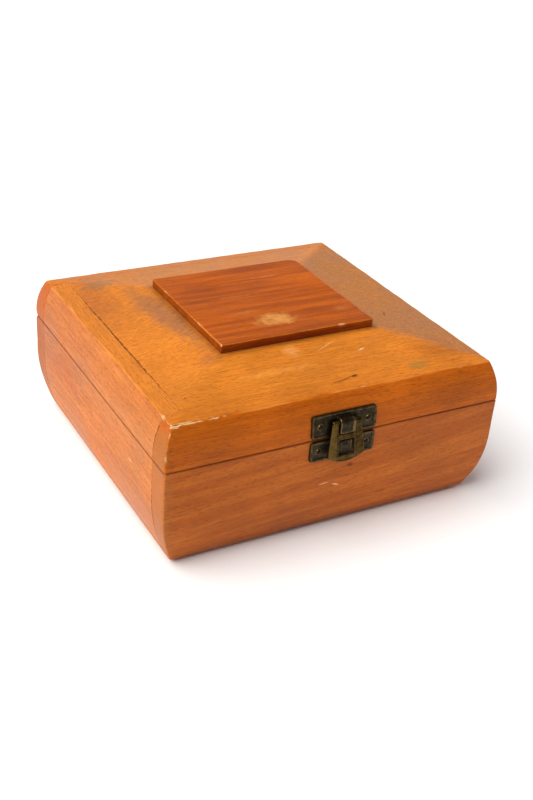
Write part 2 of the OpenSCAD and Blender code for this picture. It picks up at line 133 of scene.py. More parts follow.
# ---------------------------------------------------------------------------------------------
# The walls of the base. Four beech boards, bowed on the outside, with the front and back boards
# running the full width. They are planed, stained honey brown and polished with shellac, and
# their arrises have been rubbed by years of handling.
# ---------------------------------------------------------------------------------------------
MM = 0.001
slots = {row["node"]: row["material_slot"] for row in frame["record"]["subparts"]}
half_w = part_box("base_front")[1].x / MM
half_d = -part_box("base_front")[0].y / MM
inner_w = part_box("base_bottom")[1].x / MM
inner_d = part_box("base_bottom")[1].y / MM
base_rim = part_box("base_front")[1].z / MM
lid_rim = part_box("lid_front")[0].z / MM
parting = (base_rim + lid_rim) / 2
belly_r, belly_z = 80.0, parting - 20
shoulder_r, shoulder_z = 40.0, parting + 2
foot_r = 4.0
axis_y = half_d - 2.2                      # the hinge axis, where the two back bevels start
bevel_slope = math.tan(math.radians(50))


def bowed(out, z, half):
    """Distance outside a bowed wall, in mm, for points at `out` from the middle and at height z."""
    shoulder = np.hypot(np.maximum(out - half + shoulder_r, 0), z - shoulder_z) - shoulder_r
    belly = np.hypot(np.maximum(out - half + belly_r, 0), z - belly_z) - belly_r
    return np.where(z > shoulder_z, shoulder, np.where(z < belly_z, belly, out - half))


def bow_reach(z, half):
    """How far from the middle the bowed face stands at height z."""
    up = np.clip(z - shoulder_z, 0, None)
    down = np.clip(belly_z - z, 0, None)
    above = np.sqrt(shoulder_r ** 2 - up ** 2)
    return half - shoulder_r + above - belly_r + np.sqrt(belly_r ** 2 - down ** 2)


def bend_out(p):
    """Bends straight boards to the bow of the walls."""
    p = p.copy()
    across = np.clip((np.abs(p) - [inner_w, inner_d, 0]) / [half_w - inner_w, half_d - inner_d, 1], 0, 1)
    p[:, 0] += np.sign(p[:, 0]) * across[:, 0] * (bow_reach(p[:, 2], half_w) - half_w)
    p[:, 1] += np.sign(p[:, 1]) * across[:, 1] * (bow_reach(p[:, 2], half_d) - half_d)
    return p


def past_faces(p):
    """Distances outside the front and back faces, and outside the left and right faces."""
    return bowed(np.abs(p[:, 1]), p[:, 2], half_d), bowed(np.abs(p[:, 0]), p[:, 2], half_w)


def meet(a, b, r):
    """Where two faces meet on the outside of a solid, with the arris rounded to radius r."""
    return np.minimum(np.maximum(a, b), -r) + np.hypot(np.maximum(a + r, 0), np.maximum(b + r, 0))


def lumps(p, size, seed):
    """Smooth chance variation, about -1 to 1, with lumps of that size in mm."""
    shift = Vector((seed * 7.3, seed * 3.1, seed * 5.7))
    return np.array([noise.noise(Vector(q) / size + shift) for q in p])


def wedge(p):
    """How deep a point is in the V that is bevelled away along the back at the parting line."""
    out = p[:, 1] - axis_y
    return (bevel_slope * out - np.abs(p[:, 2] - parting)) / math.hypot(bevel_slope, 1)


HINGE_X, HINGE_LEN, LEAF_W, LEAF_T, BARREL_ROOM = 50.0, 25.0, 9.5, 1.0, 2.4


def hinge_cuts(p):
    """Distance outside what is cut away for the hinges: a shallow mortise and room for the barrel."""
    x = np.abs(np.abs(p[:, 0]) - HINGE_X)
    low = np.abs(p[:, 2] - parting) - (parting - base_rim) - LEAF_T
    leaf = np.maximum(np.maximum(x - HINGE_LEN / 2 - 0.05, axis_y - LEAF_W - 0.05 - p[:, 1]), low)
    barrel = np.maximum(np.hypot(p[:, 1] - axis_y, p[:, 2] - parting) - BARREL_ROOM, x - HINGE_LEN / 2 - 0.9)
    return np.minimum(leaf, barrel)


def with_hinge_ends(xs):
    """Adds lines to a lattice at both ends of the two hinges, where the mortises are cut."""
    ends = [sx * (HINGE_X + sh * HINGE_LEN / 2) for sx in (-1, 1) for sh in (-1, 1)]
    return np.unique(np.round(np.concatenate([xs] + [e + np.arange(-1.2, 1.21, 0.2) for e in ends]), 3))


def case_outside(p):
    """Distance outside the four bowed faces, with their worn upright corners."""
    rub = 0.75 + 0.45 * lumps(p, 9, 1)
    return meet(*past_faces(p), rub)


def steps(low, high, fine, coarse, near=3.0):
    """Places between low and high, close together near both ends and further apart between."""
    ends = np.arange(0, near, fine)
    middle = np.linspace(low + near, high - near, max(2, round((high - low - 2 * near) / coarse) + 1))
    return np.concatenate([low + ends, middle, high - ends[::-1]])


def carved(name, xs, ys, zs, distance, start=None, relax=0):
    """A closed solid cut from a lattice block: its skin is moved onto the surface where distance
    is 0. With start, the block is first bent near to its shape; without, cells outside are left out."""
    nx, ny, nz = len(xs), len(ys), len(zs)
    keep = np.ones((nx - 1, ny - 1, nz - 1), bool)
    if start is None:
        mids = [(a[1:] + a[:-1]) / 2 for a in (xs, ys, zs)]
        cells = np.stack(np.meshgrid(*mids, indexing="ij"), -1).reshape(-1, 3)
        keep = (distance(cells) < 0).reshape(keep.shape)
    full = np.zeros((nx + 1, ny + 1, nz + 1), bool)
    full[1:-1, 1:-1, 1:-1] = keep
    quads = []
    for axis in range(3):
        u, v = (axis + 1) % 3, (axis + 2) % 3
        for side in (0, 1):
            beside = np.roll(full, 1 - 2 * side, axis)
            cell = np.argwhere(full & ~beside) - 1
            ring = []
            for du, dv in ((0, 0), (1, 0), (1, 1), (0, 1)):
                corner = cell.copy()
                corner[:, axis] += side
                corner[:, u] += du
                corner[:, v] += dv
                ring.append((corner[:, 0] * ny + corner[:, 1]) * nz + corner[:, 2])
            ring = np.stack(ring, 1)
            quads.append(ring if side else ring[:, ::-1])
    quads = np.concatenate(quads)
    used, index = np.unique(quads, return_inverse=True)
    quads = index.reshape(-1, 4)
    p = np.stack([xs[used // (ny * nz)], ys[used // nz % ny], zs[used % nz]], 1).astype(float)
    if start is not None:
        p = start(p)
    edges = np.concatenate([quads[:, [0, 1]], quads[:, [1, 2]], quads[:, [2, 3]], quads[:, [3, 0]]])
    for turn in range(relax + 1):
        for _ in range(4):
            d = distance(p)
            h = 0.02
            slope = np.stack([(distance(p + h * e) - d) / h for e in np.eye(3)], 1)
            p = p - (d / np.maximum((slope ** 2).sum(1), 0.25))[:, None] * slope
        if turn < relax:
            total, count = np.zeros_like(p), np.zeros(len(p))
            np.add.at(total, edges[:, 0], p[edges[:, 1]])
            np.add.at(count, edges[:, 0], 1)
            p = 0.5 * p + 0.5 * total / count[:, None]
    mesh = bpy.data.meshes.new(name + "_finished")
    mesh.from_pydata((p * MM).tolist(), [], quads.tolist())
    mesh.shade_smooth()
    piece = bpy.data.objects.new(name + "_finished", mesh)
    bpy.context.scene.collection.objects.link(piece)
    return piece, p


def paint(piece, name, values):
    """Gives each point of a piece a value that its material reads, such as how worn it is."""
    layer = piece.data.attributes.new(name, "FLOAT", "POINT")
    layer.data.foreach_set("value", np.clip(values, 0, 1).astype(np.float32))


def fit(piece, name, body, material):
    """Gives a made piece its surface and puts it on its body, in the place of the CAD node."""
    piece.data.materials.append(material)
    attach(piece, body)
    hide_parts(name)


def near_arris(a, b, width):
    """1 on the arris between two faces, falling to 0 at that width from it."""
    return np.clip(1 + np.minimum(a, b) / width, 0, 1)


def streaks(tree, place, axis, along, across, detail=2.0, seed=0.0, lean=0.0):
    """Wood-like noise: streaks of those lengths in mm, along one axis of the case or leaning from it."""
    size = [across * MM] * 3
    size[axis] = along * MM
    turn = [0, math.radians(lean), 0] if axis == 0 else [math.radians(-lean), 0, 0]
    moved = add(tree, "Mapping", {"Vector": place, "Location": (seed * 0.1, seed * 0.17, seed * 0.23),
                                  "Rotation": turn, "Scale": size}, vector_type="TEXTURE")
    return add(tree, "TexNoise", {"Vector": moved.outputs[0], "Scale": 1.0, "Detail": detail}).outputs["Fac"]


def polished_beech(name, axis, pale, deep, seed, marks, shine=0.13, lean=0.0):
    """Stained and shellacked beech: fine broken pores along the grain, soft broad figure, a satin
    shine that the hand has dulled, pale rubbed arrises and bare wood where a splinter has gone."""
    material, tree, shader, place = new_material(name)
    figure = streaks(tree, place, axis, 70, 4, 3.0, seed, lean)
    fibre = streaks(tree, place, axis, 14, 0.65, 2.0, seed + 1, lean)   # drawn coarser than real fibres
    pore = streaks(tree, place, axis, 3.0, 0.36, 0.0, seed + 2, lean)   # pores drawn coarser too
    cloud = add(tree, "TexNoise", {"Vector": place, "Scale": 30.0, "Detail": 3.0}).outputs["Fac"]
    band = add(tree, "MapRange", {0: figure, 1: 0.34, 2: 0.66}, interpolation_type="SMOOTHSTEP").outputs[0]
    colour = add(tree, "Mix", {0: band, 6: linear(pale), 7: linear(deep)}, data_type="RGBA").outputs[2]
    on_top = add(tree, "Attribute", attribute_name="on_top").outputs["Fac"]
    part = add(tree, "Math", {0: on_top, 1: 0.8}, operation="MULTIPLY").outputs[0]
    colour = add(tree, "Mix", {0: part, 6: colour, 7: linear("#d47c24")}, data_type="RGBA").outputs[2]
    # Painted haze and shade on the slopes facing right and back: a greyer, darker colour, which also darkens
    # the pores.
    painted_haze_and_shade = add(tree, "Attribute", attribute_name="painted_haze_and_shade").outputs["Fac"]
    colour = add(tree, "Mix", {0: painted_haze_and_shade, 6: colour, 7: linear("#ac6c26")}, data_type="RGBA").outputs[2]
    for spot in marks:
        colour = spot(tree, place, colour, fibre)
    shade = add(tree, "MapRange", {0: fibre, 1: 0.3, 2: 0.7, 3: 0.84, 4: 1.13}).outputs[0]
    colour = add(tree, "VectorMath", {0: colour, "Scale": shade}, operation="SCALE").outputs[0]
    tone = add(tree, "MapRange", {0: cloud, 1: 0.3, 2: 0.7, 3: 0.88, 4: 1.08}).outputs[0]
    colour = add(tree, "VectorMath", {0: colour, "Scale": tone}, operation="SCALE").outputs[0]
    filled = add(tree, "Math", {0: painted_haze_and_shade, 1: 0.16, 2: pore}, operation="MULTIPLY_ADD").outputs[0]
    dark = add(tree, "MapRange", {0: filled, 1: 0.60, 2: 0.70, 3: 0.0, 4: 0.36}).outputs[0]
    colour = add(tree, "Mix", {0: dark, 6: colour, 7: linear("#6e2c08")}, data_type="RGBA").outputs[2]
    wear_and_highlight = add(tree, "Attribute", attribute_name="wear_and_highlight").outputs["Fac"]
    ragged = add(tree, "Math", {0: wear_and_highlight, 1: cloud}, operation="ADD").outputs[0]
    ragged = add(tree, "Math", {0: ragged, 1: fibre}, operation="ADD").outputs[0]
    rubbed_and_highlit = add(tree, "MapRange", {0: ragged, 1: 1.60, 2: 2.10, 3: 0.0, 4: 0.6}).outputs[0]
    colour = add(tree, "Mix", {0: rubbed_and_highlit, 6: colour, 7: linear("#eb9440")}, data_type="RGBA").outputs[2]
    # Painted shade from the attribute below: a dark brown laid over the foot, the rim and the roof round the
    # plaque.
    painted_shade = add(tree, "Attribute", attribute_name="painted_shade").outputs["Fac"]
    painted_shade = add(tree, "Math", {0: painted_shade, 1: 0.75}, operation="MULTIPLY").outputs[0]
    colour = add(tree, "Mix", {0: painted_shade, 6: colour, 7: linear("#4c2410")}, data_type="RGBA").outputs[2]
    bare = add(tree, "Attribute", attribute_name="bare").outputs["Fac"]
    split = add(tree, "MapRange", {0: fibre, 1: 0.35, 2: 0.6}).outputs[0]
    raw = add(tree, "Mix", {0: split, 6: linear("#f0c88c"), 7: linear("#a8501c")},
              data_type="RGBA").outputs[2]
    colour = add(tree, "Mix", {0: bare, 6: colour, 7: raw}, data_type="RGBA").outputs[2]
    tree.links.new(colour, shader.inputs["Base Color"])
    gloss = add(tree, "MapRange", {0: cloud, 1: 0.3, 2: 0.7, 3: 0.36, 4: 0.50}).outputs[0]
    gloss = add(tree, "Mix", {0: bare, 2: gloss, 3: 0.85}, data_type="FLOAT").outputs[0]
    tree.links.new(gloss, shader.inputs["Roughness"])
    shader.inputs["Specular IOR Level"].default_value = shine
    height = add(tree, "Math", {0: fibre, 1: dark}, operation="SUBTRACT").outputs[0]
    bump = add(tree, "Bump", {"Height": height, "Distance": 0.05 * MM, "Strength": 0.9})
    waves = add(tree, "Bump", {"Height": cloud, "Distance": 0.5 * MM, "Strength": 0.5,
                               "Normal": bump.outputs[0]})
    tree.links.new(waves.outputs[0], shader.inputs["Normal"])
    return material


def mark(at, size, colour, strength=1.0, turn=(0, 0, 0), ragged=0.6, soft=0.7):
    """A patch of colour, such as a stain, scratch, worn patch or painted shade: its middle and half lengths
    in mm, and how it fades out.
    """
    def spot(tree, place, under, fibre):
        moved = add(tree, "Mapping", {"Vector": place, "Location": [v * MM for v in at],
                                      "Rotation": [math.radians(a) for a in turn],
                                      "Scale": [v * MM for v in size]}, vector_type="TEXTURE").outputs[0]
        far = add(tree, "VectorMath", {0: moved}, operation="LENGTH").outputs["Value"]
        cloud = add(tree, "TexNoise", {"Vector": place, "Scale": 260.0, "Detail": 2.0}).outputs["Fac"]
        rough = add(tree, "Math", {0: fibre, 1: cloud}, operation="ADD").outputs[0]
        edge = add(tree, "Math", {0: rough, 1: ragged, 2: far}, operation="MULTIPLY_ADD").outputs[0]
        limits = {1: 1.0 + ragged, 2: 1.0 + ragged - soft, 3: 0.0, 4: strength}
        amount = add(tree, "MapRange", {0: edge, **limits}, interpolation_type="SMOOTHSTEP").outputs[0]
        return add(tree, "Mix", {0: amount, 6: under, 7: linear(colour)}, data_type="RGBA").outputs[2]
    return spot


front_joint = mark((-89, -73, 66), (5, 0.7, 10), "#6a3410", 0.8, ragged=1.6)
left_seam = mark((-77, -5, 77), (0.6, 72, 3), "#5a2a0c", 0.8, ragged=1.6)
FRONT_MARKS = (
    mark((6.3, -86, 37), (2.4, 4, 1.5), "#6b2f10", 0.7, ragged=0.9),
    mark((-7.5, -86, 29.6), (3.2, 4, 0.5), "#eeb27a", 0.8, (0, -6, 0), 0.9),
    mark((-1.0, -86, 27.6), (2.6, 4, 0.7), "#f3c391", 0.9, (0, 22, 0), 0.9),
    mark((28, -85, 15), (5, 4, 1.0), "#6b2f10", 0.5, ragged=1.2),
    mark((-88, 80, 45), (6, 8, 40), "#a85a24", 0.6, ragged=0.4),
    mark((-90, -79.5, 40), (9, 8.5, 60), "#b86c2e", 0.7, ragged=0.2, soft=0.3),
    mark((-89, -73, 30), (5, 0.6, 26), "#8a4416", 0.6, ragged=1.1),
)
SIDE_MARKS = (
    mark((-88, 50, 46), (8, 62, 46), "#b25c28", 0.6, ragged=0.6, soft=1.0),
    front_joint,
    mark((-89, -73, 30), (5, 0.8, 26), "#8a4416", 0.6, ragged=1.1),
    mark((-86.8, -42.5, 74), (2.0, 0.5, 2.2), "#8a3010", 0.8, (25, 0, 0), 0.6),
    left_seam,
    mark((-90, -20, 30), (6, 26, 2.0), "#c05c3a", 0.55, (3, 0, 0), 1.4),
    mark((-90, 35, 42), (6, 30, 1.6), "#c05c3a", 0.5, (-2, 0, 0), 1.4),
    mark((-88, -55, 18), (6, 12, 2.2), "#c4643e", 0.5, ragged=1.4),
    mark((-90, -48, 40), (6, 3, 0.7), "#f4c49c", 0.7, ragged=1.2),
    mark((-90, 20, 66), (6, 20, 1.5), "#c05c3a", 0.4, ragged=1.4),
)
front_beech = polished_beech("shellacked_beech_front", 0, "#c66a22", "#b65c1b", 2.0, FRONT_MARKS, lean=-4)
side_beech = polished_beech("shellacked_beech_sides", 1, "#d27c36", "#c8712e", 5.0, SIDE_MARKS)


def base_wall(name, xs, ys, zs, inside, material):
    """One wall of the base. inside is the distance past the faces where it joins the others."""
    def distance(p):
        foot = meet(case_outside(p), -p[:, 2], foot_r - 0.6)
        solid = meet(foot, p[:, 2] - base_rim, 0.35)
        return np.maximum(meet(meet(solid, inside(p), 0.22), wedge(p), 0.25), -hinge_cuts(p))

    piece, p = carved(name, xs, ys, zs, distance, bend_out)
    side_y, side_x = past_faces(p)
    paint(piece, "wear_and_highlight", near_arris(side_y, side_x, 1.0))
    # Painted shade: darker along the foot, where the face turns under, and along the rim at the parting
    # line.
    on_face = np.clip(1 + np.maximum(side_y, side_x) / 0.3, 0, 1)
    foot = np.clip(1 - p[:, 2] / 7, 0, 1)
    line = np.clip(1.2 - (base_rim - p[:, 2]) / 0.7, 0, 1)
    paint(piece, "painted_shade", on_face * np.maximum(0.9 * foot, line))
    fit(piece, name, "base", material)


# The base's front and back boards run the full width and cover the ends of the side boards.
base_z = steps(0, base_rim, 0.4, 2.2)
long_x = steps(-half_w, half_w, 0.4, 2.5)
for name, side in (("base_front", -1), ("base_back", 1)):
    thick_y = np.sort(side * steps(inner_d, half_d, 0.35, 2.2, 5))
    along_x = with_hinge_ends(long_x) if side > 0 else long_x
    base_wall(name, along_x, thick_y, base_z, lambda p, side=side: inner_d - side * p[:, 1], front_beech)
for name, side in (("base_left", -1), ("base_right", 1)):
    thick_x = np.sort(side * steps(inner_w, half_w, 0.35, 2.2))
    base_wall(name, thick_x, steps(-inner_d, inner_d, 0.35, 2.5), base_z, lambda p, side=side: meet(
        inner_w - side * p[:, 0], np.abs(p[:, 1]) - inner_d, 0.1), side_beech)


# ---------------------------------------------------------------------------------------------
# The bottom, the bearers and the bed board. Plain sanded beech that was never polished, planed
# with slightly eased edges and glued in between the walls.
# ---------------------------------------------------------------------------------------------
def sanded_beech(name, axis):
    """Bare sanded beech: pale, dry and dull, with faint pores."""
    material, tree, shader, place = new_material(name)
    fibre = streaks(tree, place, axis, 18, 0.9)
    figure = streaks(tree, place, axis, 90, 8)
    colour = add(tree, "Mix", {0: figure, 6: linear("#d9b383"), 7: linear("#b98a57")},
                 data_type="RGBA").outputs[2]
    shade = add(tree, "MapRange", {0: fibre, 1: 0.3, 2: 0.7, 3: 0.85, 4: 1.1}).outputs[0]
    colour = add(tree, "VectorMath", {0: colour, "Scale": shade}, operation="SCALE").outputs[0]
    tree.links.new(colour, shader.inputs["Base Color"])
    shader.inputs["Roughness"].default_value = 0.75
    bump = add(tree, "Bump", {"Height": fibre, "Distance": 0.06 * MM, "Strength": 0.8})
    tree.links.new(bump.outputs[0], shader.inputs["Normal"])
    return material


def dress(name, material, ease=0.0):
    """Gives a CAD node its surface, and eases its edges by that many mm."""
    node = frame["nodes"][name]
    node.data.materials.clear()
    node.data.materials.append(material)
    if ease:
        bevel = node.modifiers.new("eased_edges", "BEVEL")
        bevel.width = ease * MM
        bevel.segments = 2
        bevel.limit_method = "ANGLE"
        bevel.angle_limit = math.radians(40)


bare_beech = sanded_beech("sanded_beech", 0)
for name in ("base_bottom", "bed_bearer_left", "bed_bearer_middle", "bed_bearer_right", "bed_board",
             "lid_pad_card"):
    dress(name, bare_beech, 0.25)


# ---------------------------------------------------------------------------------------------
# The walls and the top of the lid. The same boards as the base, sawn off at the parting line.
# The top board lies between the walls and is planed with them to four flat slopes whose hips
# have worn soft. The front left corner has lost a few splinters and shows bare wood.
# ---------------------------------------------------------------------------------------------
edge_z = parting + 20.8                    # where the shoulders meet the slopes of the roof
edge_inset = half_w - float(bow_reach(np.array([edge_z]), half_w)[0])
plaque_low, plaque_high = (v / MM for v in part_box("lid_plaque"))
roof_z = plaque_low.z
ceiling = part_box("lid_top")[0].z / MM

# Where splinters have gone: the middle of each hollow and its half lengths
SPLINTERS = (
    ((-85.9, -81.5, 76.0), (1.2, 1.8, 1.1)), ((-85.7, -78.4, 76.1), (0.8, 1.4, 0.8)),
    ((-85.7, -72.6, 76.1), (1.1, 1.8, 1.0)), ((-85.7, -69.4, 76.1), (0.7, 1.0, 0.7)),
    ((-76.0, -81.9, 76.0), (8.5, 1.0, 0.75)), ((-83.6, -82.0, 75.8), (2.4, 1.2, 1.1)),
    ((-65.5, -81.7, 76.1), (3.4, 0.9, 0.8)), ((-60.0, -81.7, 76.1), (1.4, 0.7, 0.7)),
    ((85.8, -76.5, 76.1), (0.8, 4.2, 0.7)), ((86.0, 10.4, 76.0), (1.4, 1.6, 1.2)),
    ((-86.8, -82.9, 73.7), (0.5, 0.5, 1.6)), ((-89.4, -85.4, 62.0), (0.4, 0.4, 1.1)),
    ((40.0, -81.8, 76.1), (1.6, 0.7, 0.7)), ((12.0, -81.8, 76.1), (1.2, 0.6, 0.6)),
    ((-30.0, -81.8, 76.1), (1.0, 0.6, 0.6)), ((66.0, -81.8, 76.1), (1.6, 0.6, 0.6)),
)


def pitch(out, z, half, plaque_half):
    """Distance above one slope of the roof."""
    run = half - edge_inset - plaque_half
    rise = roof_z - edge_z
    return ((out - half + edge_inset) * rise + (z - edge_z) * run) / math.hypot(rise, run)


def soften(a, b, k):
    """Where two faces meet at a wide angle, blended over a width set by k."""
    return np.maximum(a, b) + np.maximum(k - np.abs(a - b), 0) ** 2 / (4 * k)


def roof(p):
    """Distance above the four slopes, with worn hips."""
    x, y, z = np.abs(p[:, 0]), np.abs(p[:, 1]), p[:, 2]
    return soften(pitch(x, z, half_w, plaque_high.x), pitch(y, z, half_d, plaque_high.y), 0.7)


def hollows(p, spots):
    """Distance outside the nearest splinter hollow, with ragged sides."""
    d = np.full(len(p), 50.0)
    for middle, half in spots:
        near = np.abs(p - middle).max(1) < 14
        q = (p[near] - middle) / half
        far = (np.linalg.norm(q, axis=1) - 1 + 0.5 * lumps(p[near] * (0.5, 1, 1), 0.9, 4)) * min(half)
        d[near] = np.minimum(d[near], far)
    return d


def lid_wall(name, xs, ys, zs, inside, material, start, seam=0.22):
    """One board of the lid. inside is the distance past the faces where it joins the others."""
    def distance(p):
        rub = 0.85 + 0.55 * lumps(p, 7, 2) + 0.25 * lumps(p, 1.8, 3)
        solid = meet(case_outside(p), roof(p), np.clip(rub, 0.3, 1.6))
        solid = meet(solid, lid_rim - p[:, 2], 0.35)
        solid = meet(meet(solid, inside(p), seam), wedge(p), 0.25)
        return np.maximum(np.maximum(solid, -hollows(p, SPLINTERS)), -hinge_cuts(p))

    piece, p = carved(name, xs, ys, zs, distance, start)
    side_y, side_x = past_faces(p)
    corner = near_arris(side_y, side_x, 1.0)
    top = near_arris(np.maximum(side_y, side_x), roof(p), 1.8)
    paint(piece, "wear_and_highlight", np.maximum(corner, top))
    paint(piece, "bare", 1 - (hollows(p, SPLINTERS) - 0.05) / 0.25)
    # Painted shade: a dark band on the roof round the foot of the plaque, and a dark line on the faces along
    # the rim at the parting line.
    off_plaque = np.maximum(np.abs(p[:, 0]) - plaque_high.x, np.abs(p[:, 1]) - plaque_high.y)
    on_roof = np.clip(1 + roof(p) / 0.3, 0, 1)
    on_face = np.clip(1 + np.maximum(side_y, side_x) / 0.3, 0, 1)
    line = on_face * np.clip(1.2 - (p[:, 2] - lid_rim) / 0.6, 0, 1)
    paint(piece, "painted_shade", np.maximum(on_roof * np.clip(1 - off_plaque / 3.5, 0, 1) * 0.8, line))
    paint(piece, "on_top", on_roof)
    # Painted haze and shade: the slopes facing right and the back are given a greyer, darker colour.
    x, y = np.abs(p[:, 0]), np.abs(p[:, 1])
    beyond = pitch(x, p[:, 2], half_w, plaque_high.x) - pitch(y, p[:, 2], half_d, plaque_high.y)
    facing = np.clip(beyond / 1.2, -1, 1)
    right, back = (facing > 0) * (p[:, 0] > 0), (facing < 0) * (p[:, 1] > 0)
    paint(piece, "painted_haze_and_shade", on_roof * np.abs(facing) * (0.7 * right + 0.4 * back))
    fit(piece, name, "lid", material)


def slope_height(p):
    """Height of the four slopes over each point, as if they rose to a peak."""
    rise = roof_z - edge_z
    run_x, run_y = half_w - edge_inset - plaque_high.x, half_d - edge_inset - plaque_high.y
    return np.minimum(edge_z + (half_w - edge_inset - np.abs(p[:, 0])) * rise / run_x,
                      edge_z + (half_d - edge_inset - np.abs(p[:, 1])) * rise / run_y)


def bent_wall(p):
    """Bends a straight board to the bow of the walls and the slope of the roof."""
    p = p.copy()
    share = (p[:, 2] - lid_rim) / (edge_z - lid_rim)
    p[:, 2] = lid_rim + share * (np.maximum(slope_height(p), edge_z) - lid_rim)
    return bend_out(p)


# A crack and a green stain that lie across the front board and the top
EDGE_MARKS = (
    mark((5, -74.3, 77), (8, 0.5, 3), "#5a2a10", 0.75, (0, 0, 10)),
    mark((12, -72.9, 77.2), (2.6, 1.1, 3), "#4a1f0c", 0.85, (0, 0, 10)),
    mark((47, -74.5, 77), (8, 4.5, 4), "#8a7434", 0.5, ragged=0.9),
)
LID_MARKS = (
    mark((62, -88, 66), (34, 9, 15), "#a04e04", 0.5, ragged=0.6, soft=1.0),
    front_joint,
    mark((-90, -79.5, 66), (4, 8.5, 17), "#b4671f", 0.85, ragged=0.2, soft=0.3),
    mark((-88, 80, 66), (6, 8, 12), "#b8602c", 0.6, ragged=0.4),
    *EDGE_MARKS,
)
lid_front_beech = polished_beech("shellacked_beech_lid", 0, "#c66209", "#b85906", 9.0, LID_MARKS)
lid_z = steps(lid_rim, edge_z, 0.35, 2.0)
splinter_x = np.sort(np.concatenate([steps(-half_w, half_w, 0.4, 2.2), np.arange(-86, -60, 0.45) + 0.1]))
for name, side in (("lid_front", -1), ("lid_back", 1)):
    thick_y = np.sort(side * steps(inner_d, half_d, 0.35, 2.0, 5))
    along_x = with_hinge_ends(long_x) if side > 0 else splinter_x
    lid_wall(name, along_x, thick_y, lid_z, lambda p, side=side: inner_d - side * p[:, 1],
             lid_front_beech, bent_wall, 0.1)
for name, side in (("lid_left", -1), ("lid_right", 1)):
    thick_x = np.sort(side * steps(inner_w, half_w, 0.35, 2.0, 5))
    lid_wall(name, thick_x, steps(-inner_d, inner_d, 0.35, 2.2), lid_z, lambda p, side=side: meet(
        inner_w - side * p[:, 0], np.abs(p[:, 1]) - inner_d, 0.1), side_beech, bent_wall)


def bent_top(p):
    """Lifts the upper face of a flat board to the four slopes."""
    p = p.copy()
    share = (p[:, 2] - ceiling) / (roof_z - ceiling)
    p[:, 2] = ceiling + share * (np.minimum(slope_height(p), roof_z) - ceiling)
    return p


TOP_MARKS = (
    mark((-72, 42, 78), (16, 52, 9), "#b0602a", 0.65, ragged=0.8, soft=1.0),
    mark((66, -66, 78), (30, 16, 9), "#b0601c", 0.6, ragged=0.9, soft=1.0),
    mark((-51, 14, 81.5), (9, 46, 8), "#8c6248", 0.60, (0, 0, 6), 0.9, 0.9),
    mark((-46, 0, 82), (7, 47, 8), "#a06a44", 0.55, ragged=0.9, soft=0.9),
    mark((-64, 60, 79), (12, 9, 6), "#8a6a48", 0.5, ragged=0.9),
    mark((-20, -60, 80), (26, 3, 6), "#e8963c", 0.5, ragged=1.4),
    mark((30, -48, 81), (22, 2.4, 6), "#c8742c", 0.5, ragged=1.4),
    mark((-48, -42, 81), (7, 7, 6), "#9a5c38", 0.4, ragged=0.9),
    left_seam,
    *EDGE_MARKS,
    mark((26.2, -55.5, 80.3), (2.4, 0.6, 3), "#f5dcbc", 0.8, (0, 0, 14), 0.9),
    mark((11, -48, 81.7), (8, 0.5, 3), "#efb878", 0.55, (0, 0, 24), 0.9),
    mark((-8.4, -47.6, 81.6), (5.5, 6, 4), "#f0a45c", 0.5),
    mark((59.3, -25.3, 80), (3.2, 0.8, 3), "#4a2a24", 0.8, (0, 0, 55)),
    mark((-71.5, -64.9, 78.6), (0.7, 0.6, 2), "#4a1f0c", 0.8, ragged=0.3),
)
top_beech = polished_beech("shellacked_beech_top", 0, "#d98126", "#cc711c", 9.0, TOP_MARKS)


def top_inside(p):
    """Distance past the edges and the underside of the top board."""
    walls = meet(np.abs(p[:, 0]) - inner_w, np.abs(p[:, 1]) - inner_d, 0.1)
    return meet(np.maximum(walls, p[:, 2] - roof_z), ceiling - p[:, 2], 0.2)


lid_wall("lid_top", steps(-inner_w, inner_w, 0.35, 1.6, 2), steps(-inner_d, inner_d, 0.35, 1.6, 2),
         steps(ceiling, roof_z, 0.35, 1.6, 2), top_inside, top_beech, bent_top, 0.15)


# ---------------------------------------------------------------------------------------------
# The plaque. A square of redder, closer beech glued on the roof. Its arrises are rubbed pale and
# chipped, and the polish has lifted from a patch near the front where something stood.
# ---------------------------------------------------------------------------------------------
PLAQUE_CUT = 3.2                           # how far the back right corner is cut back on each side
PLAQUE_CHIPS = (
    ((23.6, -40.6, 87.4), (1.7, 1.0, 1.1)), ((-42.3, -15.8, 87.4), (0.8, 1.5, 0.8)),
    ((-42.2, -40.4, 87.5), (1.6, 1.6, 1.0)), ((-42.4, 24.0, 87.4), (0.7, 2.2, 0.7)),
    ((41.9, -30.0, 87.4), (0.7, 1.8, 0.7)), ((5.0, -40.7, 87.4), (2.5, 0.6, 0.6)),
)
PLAQUE_MARKS = (
    # Painted shade: a dark band along the lower part of the plaque's front side.
    mark((0, -39, 84.6), (60, 6, 2.0), "#8c2c08", 0.75, ragged=0.5, soft=0.6),
    mark((-3.5, -24, 87.1), (12, 8, 6), "#de9648", 0.9, ragged=1.3, soft=0.7),
    mark((-14, -12, 87.1), (9, 2.0, 6), "#c4742e", 0.6, ragged=1.6),
    mark((34, -24, 87.1), (6, 3, 6), "#c4742e", 0.5, ragged=1.5),
    mark((-12, 6, 87.1), (16, 1.2, 4), "#d27838", 0.4, ragged=1.4),
    mark((14, 24, 87.1), (9, 0.9, 4), "#d88448", 0.5, ragged=1.4),
    mark((22, -20, 87.1), (14, 3.0, 4), "#7a3410", 0.4, ragged=1.2),
    mark((-24, 20, 87.1), (14, 6, 4), "#8a3c14", 0.4, ragged=1.2),
)
plaque_beech = polished_beech("shellacked_plaque", 0, "#bb590c", "#a04808", 14.0, PLAQUE_MARKS, 0.05)


